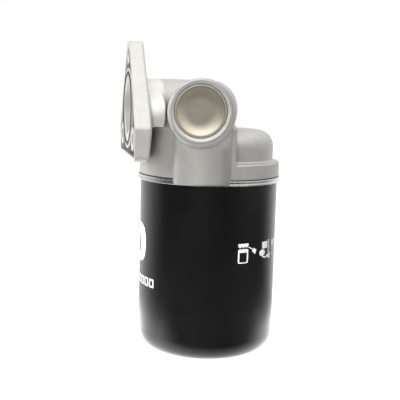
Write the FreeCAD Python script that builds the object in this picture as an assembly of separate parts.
import FreeCAD, Part
import math
import os

# Hydraulic filter assembly: a cast mounting head with a spin-on canister under it.
# Millimetres. The origin is the centre of the flange port, on the mounting face.
# -X points out of the mounting face, +Z is up, and the front boss looks along -Y.

# Canister
can_radius = 56.0
can_wall = 1.0
can_height = 140.0
can_corner_radius = 15.0
can_dish_radius = 28.0
can_dish_depth = 2.0
can_dish_rounding = 3.0
can_from_flange = 68.0

# Rolled seam at the canister's top
seam_radius = 58.2
seam_height = 4.2
seam_gap = 0.6
seam_groove_depth = 0.8
seam_groove_half = 0.9
seam_groove_rounding = 0.3
seam_rounding = 0.7
cover_sheet = 0.8
cover_depth = 4.0

# Gasket and its channel
gasket_width = 6.6
gasket_clearance = 0.3
channel_lip_height = 4.7

# Threaded plate and nipple
plate_thickness = 4.0
plate_side_gap = 0.6
hub_radius = 24.5
hub_length = 13.0
hub_root_rounding = 2.0
inlet_hole_radius = 4.5
inlet_hole_circle = 35.0
inlet_hole_count = 8
thread_radius = 19.0
thread_clearance = 0.05
thread_chamfer = 1.2
nipple_bore_radius = 14.5
nipple_reach = 14.0
nipple_depth = 17.0
nipple_hex_flats = 30.0
nipple_hex_depth = 8.0

# Filter element
element_radius = 49.0
element_length = 92.0
cap_sheet = 0.8
cap_rim_height = 6.0
seal_height = 4.0
seal_wall = 7.5
tube_radius = 20.8
tube_wall = 0.8
tube_hole_radius = 3.0
tube_hole_rows = 4
tube_holes_per_row = 8
media_gap = 0.6
media_inner_radius = 22.0
media_sheet = 0.6
pleat_count = 48
pleat_tip_half = 0.8
pleat_valley_half = 0.6
band_width = 5.0
band_sheet = 0.5

# Support spring under the element
seat_radius = 24.0
seat_sheet = 1.2
seat_edge = 3.0
spring_sheet = 1.4
spring_leg_count = 4
spring_leg_width = 13.0
spring_foot_radius = 39.0
spring_foot_length = 5.0
spring_bend_radius = 4.0
spring_hub_radius = 15.0
spring_hole_radius = 6.0

# Mounting flange, thickest at its shoulders
flange_thickness = 13.2
flange_edge_thickness = 11.0
flange_top = 52.5
flange_bottom = 38.6
flange_half_width = 55.0
flange_shoulder = 13.0
flange_back_radius = 100.0
flange_tip_half = 8.0
flange_corner_radius = 5.0
flange_back_rounding = 2.5
bolt_count = 3
bolt_circle_radius = 44.0
bolt_hole_radius = 4.5
bolt_boss_radius = 9.0
port_radius = 20.0
port_depth = 14.0
ring_land_radius = 31.8
groove_inner_radius = 26.2
groove_width = 3.3
groove_depth = 2.1
o_ring_section = 2.8
edge_land = 3.2
pocket_depth = 6.0
pocket_corner_radius = 2.0

# Pad behind the flange and web under it
pad_thickness = 11.3
pad_edge_gap = 0.5
pad_corner_height = 3.0
pad_bottom = 12.4
pad_upper_radius = 15.0
pad_lean_top = 2.0
pad_lean_low = 1.2
pad_back_radius = 40.0
pad_lower_radius = 1.5
web_half_width = 20.0

# Head body
port_above_seam = 56.0
cast_fillet = 3.0
rim_radius = 57.2
rim_height = 11.5
rim_rounding = 1.6
ledge_rise = 0.6
dome_radius = 51.8
dome_height = 36.2
dome_rounding = 13.0
dome_root_radius = 2.0
wall_height = 45.2
wall_right = 9.0
wall_rounding = 8.0
wall_root_radius = 1.8
neck_radius = 24.0
neck_end = 21.3
neck_end_rounding = 22.0

# Front boss, its bore and the column under it
boss_from_can = -21.1
boss_height = 0.7
boss_radius = 25.4
boss_front = 67.0
boss_rounding = 1.8
boss_offset_x = 1.2
boss_offset_z = -1.2
boss_face_width = 3.0
boss_face_step = 0.7
boss_root_radius = 14.0
boss_taper = 61.0
bore_radius = 20.1
bore_step = 50.0
bore_inner_radius = 16.0
bore_bottom = 27.0
bore_bottom_rounding = 4.0
bore_mouth_width = 2.2
bore_mouth_depth = 0.7
column_from_can = -15.7
column_half_width = 21.8
column_front = 62.0
column_corner_radius = 9.0
column_drop = 3.3
column_clearance = 0.7
duct_half_width = 14.0
duct_front = 54.0
duct_back = 31.0
duct_floor = 20.0
duct_corner_radius = 6.0

# Chambers in the head
chamber_inner_radius = 24.5
chamber_outer_radius = 45.0
chamber_height = 26.0
chamber_rounding = 5.0
gallery_radius = 18.5
gallery_end = 14.0
gallery_rounding = 17.0

# Inlet port at the back
inlet_radius = 12.1
inlet_thread_length = 15.0
inlet_bore_radius = 10.5
inlet_boss_radius = 18.5
inlet_height = 19.4
inlet_face = 62.0
inlet_rounding = 2.0
inlet_bore_start = 39.0

# Cup plug
plug_sheet = 2.0
plug_depth = 10.0
plug_recess = 1.2
plug_dish_depth = 3.2
plug_dish_rounding = 14.0
plug_dish_slope = 5.0
plug_lip_rounding = 0.7
plug_lead_in = 0.6
plug_lead_length = 2.0

# Bypass valve
bypass_from_can = 33.5
bypass_radius = 9.0
bypass_boss_radius = 12.5
bypass_mouth = 5.0
bypass_depth = 25.5
bypass_drill_radius = 4.0
bypass_drill_height = 25.5
snap_ring_section = 1.2
snap_ring_inset = 1.0
snap_ring_depth = 0.7
snap_ring_width = 2.4
snap_ring_slot = 5.0
bypass_seat_height = 4.0
bypass_hole_radius = 5.5
poppet_radius = 7.4
poppet_head = 2.4
poppet_stem_radius = 3.0
poppet_stem_length = 7.0
poppet_cone = 1.6
bypass_wire = 1.3
bypass_wire_sides = 8
bypass_coil_radius = 5.2
bypass_turns = 5.0

# Levels that follow from the sizes above
seam_z = -port_above_seam
face_z = seam_z + seam_height + seam_gap
can_bottom_z = seam_z - can_height
cover_z = seam_z - cover_depth
plate_bottom_z = cover_z - plate_thickness
hub_bottom_z = cover_z - hub_length
element_top_z = hub_bottom_z - seal_height
element_bottom_z = element_top_z - element_length
nipple_top_z = face_z + nipple_depth
nipple_bottom_z = seam_z - nipple_reach
bypass_mouth_z = face_z + bypass_mouth
bypass_seat_z = bypass_mouth_z + snap_ring_inset + snap_ring_section
bypass_top_z = bypass_mouth_z + bypass_depth
axis_x = can_from_flange
boss_x = can_from_flange + boss_from_can
column_x = can_from_flange + column_from_can
bypass_x = can_from_flange + bypass_from_can

# How far a cut runs past the face that it opens
past = 1.0

UP = FreeCAD.Vector(0, 0, 1)
RIGHT = FreeCAD.Vector(1, 0, 0)
BACK = FreeCAD.Vector(0, 1, 0)


def rounded_wire(corners, place):
    """Closed wire through 2-D corners (u, v) or (u, v, radius); place gives each point in space."""
    points = [FreeCAD.Vector(c[0], c[1], 0) for c in corners]
    radii = [c[2] if len(c) > 2 else 0.0 for c in corners]
    starts, middles, ends = [], [], []
    for i, corner in enumerate(points):
        back = (points[i - 1] - corner).normalize()
        ahead = (points[(i + 1) % len(points)] - corner).normalize()
        if radii[i] == 0.0:
            starts.append(corner)
            middles.append(None)
            ends.append(corner)
            continue
        half = back.getAngle(ahead) / 2
        setback = radii[i] / math.tan(half)
        bisector = (back + ahead).normalize()
        centre = corner + bisector * (radii[i] / math.sin(half))
        starts.append(corner + back * setback)
        middles.append(centre - bisector * radii[i])
        ends.append(corner + ahead * setback)
    edges = []
    for i in range(len(points)):
        if middles[i] is not None:
            arc = Part.Arc(place(starts[i]), place(middles[i]), place(ends[i]))
            edges.append(arc.toShape())
        start, end = ends[i], starts[(i + 1) % len(points)]
        if start.distanceToPoint(end) > 1e-6:
            edges.append(Part.makeLine(place(start), place(end)))
    return Part.Wire(edges)


def turned(corners, x=axis_x):
    """Solid of revolution about an upright axis, from corners (radius, z)."""
    wire = rounded_wire(corners, lambda p: FreeCAD.Vector(x + p.x, 0, p.y))
    return Part.Face(wire).revolve(FreeCAD.Vector(x, 0, 0), UP, 360)


def turned_about_x(corners):
    """Solid of revolution about the flange port's axis, from corners (radius, x)."""
    wire = rounded_wire(corners, lambda p: FreeCAD.Vector(p.y, p.x, 0))
    return Part.Face(wire).revolve(FreeCAD.Vector(0, 0, 0), RIGHT, 360)


def turned_about_y(corners, x, z):
    """Solid of revolution about an axis along Y, from corners (radius, y)."""
    wire = rounded_wire(corners, lambda p: FreeCAD.Vector(x + p.x, p.y, z))
    return Part.Face(wire).revolve(FreeCAD.Vector(x, 0, z), BACK, 360)


def prism_up(corners, bottom, top):
    """Upright prism from corners (x, y)."""
    wire = rounded_wire(corners, lambda p: FreeCAD.Vector(p.x, p.y, bottom))
    return Part.Face(wire).extrude(UP * (top - bottom))


def prism_along_x(corners, start, end):
    """Prism along X from corners (y, z)."""
    wire = rounded_wire(corners, lambda p: FreeCAD.Vector(start, p.x, p.y))
    return Part.Face(wire).extrude(RIGHT * (end - start))


def prism_along_y(corners, start, end):
    """Prism along Y from corners (x, z)."""
    wire = rounded_wire(corners, lambda p: FreeCAD.Vector(p.x, start, p.y))
    return Part.Face(wire).extrude(BACK * (end - start))


def rod(radius, start, end):
    """Cylinder between two points."""
    start, end = FreeCAD.Vector(*start), FreeCAD.Vector(*end)
    return Part.makeCylinder(radius, start.distanceToPoint(end), start, end - start)


def tube(outer, inner, bottom, top, x=axis_x):
    return turned([(inner, bottom), (outer, bottom), (outer, top), (inner, top)], x)


def seams(shape, first, second):
    """The shape's edges along which two of its pieces meet."""
    found = []
    for edge in shape.Edges:
        start, end = edge.ParameterRange
        points = [Part.Vertex(edge.valueAt(start + (end - start) * share)) for share in (0.2, 0.5, 0.8)]
        if all(p.distToShape(piece.Shells[0])[0] < 1e-4 for p in points for piece in (first, second)):
            found.append(edge)
    return found


def bolt_places():
    """Centres (y, z) of the bolt holes, the first at the top."""
    angles = [math.pi / 2 + 2 * math.pi * i / bolt_count for i in range(bolt_count)]
    return [(bolt_circle_radius * math.cos(a), bolt_circle_radius * math.sin(a)) for a in angles]


def flange_outline(inset=0.0, radius=flange_corner_radius):
    """Corners (y, z) of the flange, moved inwards by inset."""
    lean = math.atan2(flange_half_width - flange_tip_half, flange_top + flange_shoulder)
    tip = flange_tip_half - inset * (1 - math.sin(lean)) / math.cos(lean)
    side = flange_half_width - inset
    shoulder = -flange_shoulder - inset * math.tan(lean / 2)
    top = flange_top - inset
    bottom = -flange_bottom + inset
    right = [(tip, top, radius), (side, shoulder, radius), (side, bottom, radius)]
    left = [(-y, z, r) for y, z, r in reversed(right)]
    return right + left


def flange_plate():
    slopes = prism_along_y([(-past, -flange_bottom - past), (flange_edge_thickness, -flange_bottom - past),
                            (flange_thickness, -flange_shoulder, flange_back_radius),
                            (flange_edge_thickness, flange_top + past), (-past, flange_top + past)],
                           -flange_half_width - past, flange_half_width + past)
    plate = prism_along_x(flange_outline(), 0, flange_thickness).common(slopes)
    outside = [f for f in plate.Faces if abs(f.normalAt(0, 0).x) < 0.01]
    rim = [e for f in outside for e in f.Edges if min(v.X for v in e.Vertexes) > flange_edge_thickness - 0.3]
    return plate.makeFillet(flange_back_rounding, rim)


def pad_half_width():
    """Half the pad's width: its side corners keep a gap to the flange's edge."""
    share = (flange_top - pad_corner_height) / (flange_top + flange_shoulder)
    return flange_tip_half + share * (flange_half_width - flange_tip_half) - pad_edge_gap


def pad_outline():
    """Corners (y, z) of the pad: its upper sides run from the neck's round top to the side corners."""
    side = pad_half_width()
    reach = math.hypot(side, pad_corner_height)
    angle = math.atan2(pad_corner_height, side) + math.acos(neck_radius / reach)
    touch = (neck_radius * math.cos(angle), neck_radius * math.sin(angle))
    right = [touch, (side, pad_corner_height, pad_upper_radius),
             (side, -pad_bottom, pad_lower_radius)]
    left = [(-c[0],) + c[1:] for c in reversed(right)]
    return right + left


def face_pockets():
    """Shallow pockets in the mounting face, between the edge land, the ring land and the bolt bosses."""
    pocket = prism_along_x(flange_outline(edge_land, pocket_corner_radius), -past, pocket_depth)
    keep = [rod(ring_land_radius, (-2 * past, 0, 0), (pocket_depth + past, 0, 0))]
    for y, z in bolt_places():
        keep.append(rod(bolt_boss_radius, (-2 * past, y, z), (pocket_depth + past, y, z)))
    return pocket.cut(keep)


def head_outside():
    """The casting's outer form, before its bores and chambers."""
    ledge = face_z + rim_height
    body = turned([(0, face_z), (rim_radius, face_z), (rim_radius, ledge, rim_rounding),
                   (dome_radius, ledge + ledge_rise, dome_root_radius),
                   (dome_radius, face_z + dome_height, dome_rounding), (0, face_z + dome_height)])
    wall_top = face_z + wall_height
    wall_disc = turned([(0, face_z), (rim_radius, face_z), (rim_radius, wall_top, wall_rounding),
                        (0, wall_top)])
    wall_box = prism_along_y([(axis_x - rim_radius, face_z), (axis_x + wall_right, face_z),
                              (axis_x + wall_right, wall_top, wall_rounding),
                              (axis_x - rim_radius, wall_top)], -rim_radius, 0)
    wall = wall_disc.common(wall_box)
    neck = turned_about_x([(0, flange_thickness / 2), (neck_radius, flange_thickness / 2),
                           (neck_radius, axis_x + neck_end, neck_end_rounding), (0, axis_x + neck_end)])
    pad = prism_along_x(pad_outline(), flange_thickness / 2, flange_thickness + pad_thickness)
    pad_back = flange_thickness + pad_thickness
    pad = pad.common(prism_along_y([(0, -pad_bottom - past), (pad_back - pad_lean_low, -pad_bottom - past),
                                    (pad_back, pad_corner_height, pad_back_radius),
                                    (pad_back - pad_lean_top, neck_radius + past),
                                    (0, neck_radius + past)],
                                   -flange_half_width, flange_half_width))
    web = Part.makeBox(pad_thickness + flange_thickness / 2, 2 * web_half_width, flange_bottom - pad_bottom,
                       FreeCAD.Vector(flange_thickness / 2, -web_half_width, -flange_bottom))
    shoulder = -boss_front + boss_face_step
    boss = turned_about_y([(0, shoulder), (boss_radius, shoulder, boss_rounding),
                           (boss_radius, -boss_taper), (boss_root_radius, 0), (0, 0)],
                          boss_x + boss_offset_x, boss_height + boss_offset_z)
    boss_face = rod(bore_radius + boss_face_width, (boss_x, -boss_front, boss_height),
                    (boss_x, -boss_front + 2 * boss_face_step, boss_height))
    column = prism_up([(column_x - column_half_width, -column_front, column_corner_radius),
                       (column_x + column_half_width, -column_front, column_corner_radius),
                       (column_x + column_half_width, -duct_back), (column_x - column_half_width, -duct_back)],
                      face_z - column_drop, 0)
    bead_room_bottom = (axis_x, 0, face_z - 2 * column_drop)
    column = column.cut(rod(seam_radius + column_clearance, bead_room_bottom, (axis_x, 0, face_z)))
    inlet_z = face_z + inlet_height
    inlet_boss = turned_about_y([(0, chamber_outer_radius), (inlet_boss_radius, chamber_outer_radius),
                                 (inlet_boss_radius, inlet_face, inlet_rounding), (0, inlet_face)],
                                axis_x, inlet_z)
    head = flange_plate().fuse(pad).removeSplitter()
    head = head.makeFillet(cast_fillet, seams(head, flange_plate(), pad))
    for piece in (body, wall, neck, web, boss, boss_face, column, inlet_boss):
        head = head.fuse(piece)
    head = head.removeSplitter()
    neck_foot = max(seams(head, neck, body), key=lambda edge: edge.Length)
    head = head.makeFillet(cast_fillet, [neck_foot])
    wall_foot = [edge for edge in seams(head, wall, body) if edge.BoundBox.XLength < 0.1]
    return head.makeFillet(wall_root_radius, wall_foot)


def filter_head():
    head = head_outside()
    chamber = turned([(chamber_inner_radius, face_z - past), (chamber_outer_radius, face_z - past),
                      (chamber_outer_radius, face_z + chamber_height, chamber_rounding),
                      (chamber_inner_radius, face_z + chamber_height, chamber_rounding)])
    valve_boss = rod(bypass_boss_radius, (bypass_x, 0, bypass_mouth_z), (bypass_x, 0, face_z + dome_height))
    chamber = chamber.cut(valve_boss)
    gallery = turned_about_x([(0, -past), (port_radius, -past), (port_radius, port_depth),
                              (gallery_radius, port_depth),
                              (gallery_radius, axis_x + gallery_end, gallery_rounding),
                              (0, axis_x + gallery_end)])
    riser = rod(nipple_bore_radius, (axis_x, 0, face_z), (axis_x, 0, 0))
    socket = rod(thread_radius, (axis_x, 0, face_z - past), (axis_x, 0, nipple_top_z))
    plug_bore = turned_about_y([(0, -boss_front), (bore_radius + bore_mouth_width, -boss_front),
                                (bore_radius, -boss_front + bore_mouth_depth),
                                (bore_radius, -bore_step), (bore_inner_radius, -bore_step),
                                (bore_inner_radius, -bore_bottom, bore_bottom_rounding),
                                (0, -bore_bottom)],
                               boss_x, boss_height)
    duct = prism_up([(column_x - duct_half_width, -duct_front, duct_corner_radius),
                     (column_x + duct_half_width, -duct_front, duct_corner_radius),
                     (column_x + duct_half_width, -duct_back, duct_corner_radius),
                     (column_x - duct_half_width, -duct_back, duct_corner_radius)], face_z + duct_floor, 0)
    inlet_z = face_z + inlet_height
    inlet_shoulder = inlet_face - inlet_thread_length
    inlet = turned_about_y([(0, inlet_bore_start), (inlet_bore_radius, inlet_bore_start),
                            (inlet_bore_radius, inlet_shoulder), (inlet_radius, inlet_shoulder),
                            (inlet_radius, inlet_face + past), (0, inlet_face + past)], axis_x, inlet_z)
    valve_bore = rod(bypass_radius, (bypass_x, 0, bypass_mouth_z - past), (bypass_x, 0, bypass_top_z))
    snap_groove = rod(bypass_radius + snap_ring_depth, (bypass_x, 0, bypass_seat_z - snap_ring_section),
                      (bypass_x, 0, bypass_seat_z))
    drill_z = face_z + bypass_drill_height
    drill = rod(bypass_drill_radius, (axis_x, 0, drill_z), (bypass_x, 0, drill_z))
    groove_outer_radius = groove_inner_radius + groove_width
    groove = turned_about_x([(groove_inner_radius, -past), (groove_outer_radius, -past),
                             (groove_outer_radius, groove_depth), (groove_inner_radius, groove_depth)])
    cuts = [chamber, gallery, riser, socket, plug_bore, duct, inlet, valve_bore, snap_groove, drill, groove,
            face_pockets()]
    for y, z in bolt_places():
        cuts.append(rod(bolt_hole_radius, (-past, y, z), (flange_thickness + past, y, z)))
    for cut in cuts:
        head = head.cut(cut)
    return head


def cup_plug():
    """Pressed cup, open side in: a rolled lip with a dished face inside it."""
    front = -boss_front + plug_recess
    floor = front + plug_dish_depth
    inner = bore_radius - plug_sheet
    fold = front + 2 * plug_sheet
    return turned_about_y([(0, floor), (inner - plug_dish_slope, floor, plug_dish_rounding),
                           (inner, front, plug_lip_rounding),
                           (bore_radius - plug_lead_in, front, plug_lip_rounding),
                           (bore_radius, front + plug_lead_length), (bore_radius, front + plug_depth),
                           (inner, front + plug_depth), (inner, fold, plug_lip_rounding),
                           (inner - plug_dish_slope, floor + plug_sheet, plug_dish_rounding / 2),
                           (0, floor + plug_sheet)], boss_x, boss_height)


def flange_o_ring():
    middle = groove_inner_radius + groove_width / 2
    centre = FreeCAD.Vector(groove_depth - o_ring_section / 2, 0, 0)
    return Part.makeTorus(middle, o_ring_section / 2, centre, RIGHT)


def threaded_nipple():
    body = turned([(nipple_bore_radius, nipple_bottom_z), (thread_radius - thread_chamfer, nipple_bottom_z),
                   (thread_radius, nipple_bottom_z + thread_chamfer), (thread_radius, nipple_top_z),
                   (nipple_bore_radius, nipple_top_z)])
    corner = nipple_hex_flats / math.sqrt(3)
    angles = [math.pi / 3 * i for i in range(6)]
    hexagon = [(axis_x + corner * math.cos(a), corner * math.sin(a)) for a in angles]
    key = prism_up(hexagon, nipple_bottom_z - past, nipple_bottom_z + nipple_hex_depth)
    return body.cut(key)


def bypass_seat():
    top = bypass_seat_z + bypass_seat_height
    return turned([(bypass_hole_radius, bypass_seat_z), (bypass_radius, bypass_seat_z),
                   (bypass_radius, top), (bypass_hole_radius + poppet_cone, top),
                   (bypass_hole_radius, top - poppet_cone)], bypass_x)


def bypass_poppet():
    seat_top = bypass_seat_z + bypass_seat_height
    tip = seat_top - poppet_cone
    return turned([(0, tip), (bypass_hole_radius, tip), (bypass_hole_radius + poppet_cone, seat_top),
                   (poppet_radius, seat_top), (poppet_radius, seat_top + poppet_head),
                   (poppet_stem_radius, seat_top + poppet_head),
                   (poppet_stem_radius, seat_top + poppet_head + poppet_stem_length),
                   (0, seat_top + poppet_head + poppet_stem_length)], bypass_x)


def bypass_spring():
    bottom = bypass_seat_z + bypass_seat_height + poppet_head + bypass_wire / 2
    top = bypass_top_z - bypass_wire / 2
    helix = Part.makeHelix((top - bottom) / bypass_turns, top - bottom, bypass_coil_radius)
    start = helix.Vertexes[0].Point
    angles = [2 * math.pi * i / bypass_wire_sides for i in range(bypass_wire_sides + 1)]
    section = Part.makePolygon([start + RIGHT * (bypass_wire / 2 * math.cos(a)) +
                                UP * (bypass_wire / 2 * math.sin(a)) for a in angles])
    coil = helix.makePipeShell([section], True, True)
    coil.translate(FreeCAD.Vector(bypass_x, 0, bottom))
    return coil


def bypass_retaining_ring():
    bottom = bypass_seat_z - snap_ring_section
    outer = bypass_radius + snap_ring_depth
    ring = tube(outer, outer - snap_ring_width, bottom, bypass_seat_z, bypass_x)
    gap = Part.makeBox(2 * outer, snap_ring_slot, snap_ring_section,
                       FreeCAD.Vector(bypass_x, -snap_ring_slot / 2, bottom))
    return ring.cut(gap)


def canister_shell():
    slope = can_dish_radius + 2 * can_dish_depth
    top = seam_z + seam_height - cover_sheet
    hook = (seam_radius - cover_sheet + can_radius) / 2
    floor = can_bottom_z + can_wall
    dish = can_bottom_z + can_dish_depth
    inner = can_radius - can_wall
    return turned([(0, dish), (can_dish_radius, dish, can_dish_rounding),
                   (slope, can_bottom_z, can_dish_rounding),
                   (can_radius, can_bottom_z, can_corner_radius), (can_radius, seam_z + cover_sheet),
                   (hook, seam_z + cover_sheet), (hook, top), (inner, top),
                   (inner, floor, can_corner_radius - can_wall), (slope, floor, can_dish_rounding),
                   (can_dish_radius, dish + can_wall, can_dish_rounding), (0, dish + can_wall)])


def seam_cover():
    """Sheet cover: the gasket's channel inside, and a grooved seam rolled over the can's edge."""
    top = seam_z + seam_height
    inner_leg = can_radius - can_wall - cover_sheet
    middle = seam_z + seam_height / 2
    lip = gasket_inner_radius() - gasket_clearance
    hook = seam_radius - cover_sheet
    half = seam_groove_half
    return turned([(lip - cover_sheet, cover_z), (can_radius - can_wall, cover_z),
                   (can_radius - can_wall, top - cover_sheet), (hook, top - cover_sheet),
                   (hook, middle + half), (hook - seam_groove_depth / 2, middle), (hook, middle - half),
                   (hook, seam_z + cover_sheet), (can_radius, seam_z + cover_sheet),
                   (can_radius, seam_z), (seam_radius, seam_z, seam_rounding),
                   (seam_radius, middle - half, seam_groove_rounding),
                   (seam_radius - seam_groove_depth, middle, seam_groove_rounding),
                   (seam_radius, middle + half, seam_groove_rounding),
                   (seam_radius, top, seam_rounding), (inner_leg, top, seam_groove_rounding),
                   (inner_leg, cover_z + cover_sheet), (lip, cover_z + cover_sheet),
                   (lip, cover_z + channel_lip_height), (lip - cover_sheet, cover_z + channel_lip_height)])


def gasket_inner_radius():
    return can_radius - can_wall - cover_sheet - gasket_clearance - gasket_width


def gasket():
    inner = gasket_inner_radius()
    return tube(inner + gasket_width, inner, cover_z + cover_sheet, face_z)


def threaded_plate():
    outer = can_radius - can_wall - plate_side_gap
    bore = thread_radius + thread_clearance
    plate = turned([(bore, hub_bottom_z), (hub_radius, hub_bottom_z),
                    (hub_radius, plate_bottom_z, hub_root_rounding), (outer, plate_bottom_z),
                    (outer, cover_z), (bore + thread_chamfer, cover_z), (bore, cover_z - thread_chamfer)])
    holes = []
    for i in range(inlet_hole_count):
        angle = 2 * math.pi * i / inlet_hole_count
        x = axis_x + inlet_hole_circle * math.cos(angle)
        y = inlet_hole_circle * math.sin(angle)
        holes.append(rod(inlet_hole_radius, (x, y, plate_bottom_z - past), (x, y, cover_z + past)))
    return plate.cut(holes)


def element_seal():
    inner = hub_radius - seal_wall
    return tube(hub_radius, inner, element_top_z, hub_bottom_z)


def top_end_cap():
    high = element_top_z
    inner = element_radius - cap_sheet
    hole = hub_radius - seal_wall
    return turned([(hole, high), (element_radius, high), (element_radius, high - cap_rim_height),
                   (inner, high - cap_rim_height), (inner, high - cap_sheet), (hole, high - cap_sheet)])


def bottom_end_cap():
    low = element_bottom_z
    inner = element_radius - cap_sheet
    return turned([(0, low), (element_radius, low), (element_radius, low + cap_rim_height),
                   (inner, low + cap_rim_height), (inner, low + cap_sheet), (0, low + cap_sheet)])


def centre_tube():
    low = element_bottom_z + cap_sheet
    high = element_top_z - cap_sheet
    wall = tube(tube_radius, tube_radius - tube_wall, low, high)
    pitch = (high - low) / tube_hole_rows
    pins = []
    for row in range(tube_hole_rows):
        z = low + pitch * (row + 0.5)
        for i in range(tube_holes_per_row // 2):
            angle = 2 * math.pi * (i + 0.5 * (row % 2)) / tube_holes_per_row
            x, y = 2 * tube_radius * math.cos(angle), 2 * tube_radius * math.sin(angle)
            pins.append(rod(tube_hole_radius, (axis_x - x, -y, z), (axis_x + x, y, z)))
    return wall.cut(pins)


def pleat_outline(inwards):
    """Star outline of the pleats, inside their middle line by the length given."""
    outer = element_radius - cap_sheet - media_gap - media_sheet / 2 - inwards
    inner = media_inner_radius + media_sheet / 2 - inwards
    points = []
    for i in range(pleat_count):
        tip = 2 * math.pi * i / pleat_count
        valley = tip + math.pi / pleat_count
        tip_half = (pleat_tip_half - inwards) / outer
        valley_half = (pleat_valley_half + inwards) / inner
        for radius, angle in ((outer, tip - tip_half), (outer, tip + tip_half),
                              (inner, valley - valley_half), (inner, valley + valley_half)):
            points.append(FreeCAD.Vector(axis_x + radius * math.cos(angle), radius * math.sin(angle), 0))
    return Part.makePolygon(points + points[:1])


def pleated_media():
    low = element_bottom_z + cap_sheet
    high = element_top_z - cap_sheet
    outside, inside = Part.Face(pleat_outline(-media_sheet / 2)), Part.Face(pleat_outline(media_sheet / 2))
    media = outside.cut(inside).Faces[0].extrude(UP * (high - low))
    media.translate(UP * low)
    return media


def media_band():
    middle = (element_top_z + element_bottom_z) / 2
    outer = element_radius - cap_sheet
    return tube(outer, outer - band_sheet, middle - band_width / 2, middle + band_width / 2)


def spring_seat():
    """Pressed disc with a turned-down edge that centres the spring's hub."""
    top = element_bottom_z
    return turned([(0, top - seat_sheet), (seat_radius - seat_sheet, top - seat_sheet),
                   (seat_radius - seat_sheet, top - seat_edge), (seat_radius, top - seat_edge),
                   (seat_radius, top, seat_sheet), (0, top)])


def support_spring():
    """Stamped leaf spring: a flat hub under the seat and arched legs that stand on the can's floor."""
    hub_top = element_bottom_z - seat_sheet
    hub_bottom = hub_top - spring_sheet
    floor = can_bottom_z + can_wall
    bend = spring_bend_radius
    heel = spring_foot_radius - spring_foot_length
    side = [(spring_hole_radius, hub_top), (spring_hub_radius, hub_top, bend + spring_sheet),
            (heel + spring_sheet, floor + spring_sheet, bend), (spring_foot_radius, floor + spring_sheet),
            (spring_foot_radius, floor), (heel, floor, bend + spring_sheet),
            (spring_hub_radius - spring_sheet, hub_bottom, bend), (spring_hole_radius, hub_bottom)]
    spring = tube(spring_hub_radius - 2 * spring_sheet, spring_hole_radius, hub_bottom, hub_top)
    for i in range(spring_leg_count):
        leg = prism_along_y(side, -spring_leg_width / 2, spring_leg_width / 2)
        leg.translate(RIGHT * axis_x)
        leg.rotate(FreeCAD.Vector(axis_x, 0, 0), UP, 360 / spring_leg_count * (i + 0.5))
        spring = spring.fuse(leg)
    return spring.removeSplitter()


makers = (filter_head, cup_plug, flange_o_ring, threaded_nipple,
          bypass_seat, bypass_poppet, bypass_spring, bypass_retaining_ring,
          canister_shell, seam_cover, gasket, threaded_plate, element_seal, top_end_cap, bottom_end_cap,
          centre_tube, pleated_media, media_band, spring_seat, support_spring)

os.makedirs("parts", exist_ok=True)
for make in makers:
    shape = make()
    shape.exportStep(os.path.join("parts", make.__name__ + ".step"))
    print(make.__name__, "valid", shape.isValid(), "solids", len(shape.Solids), "mm3", round(shape.Volume))
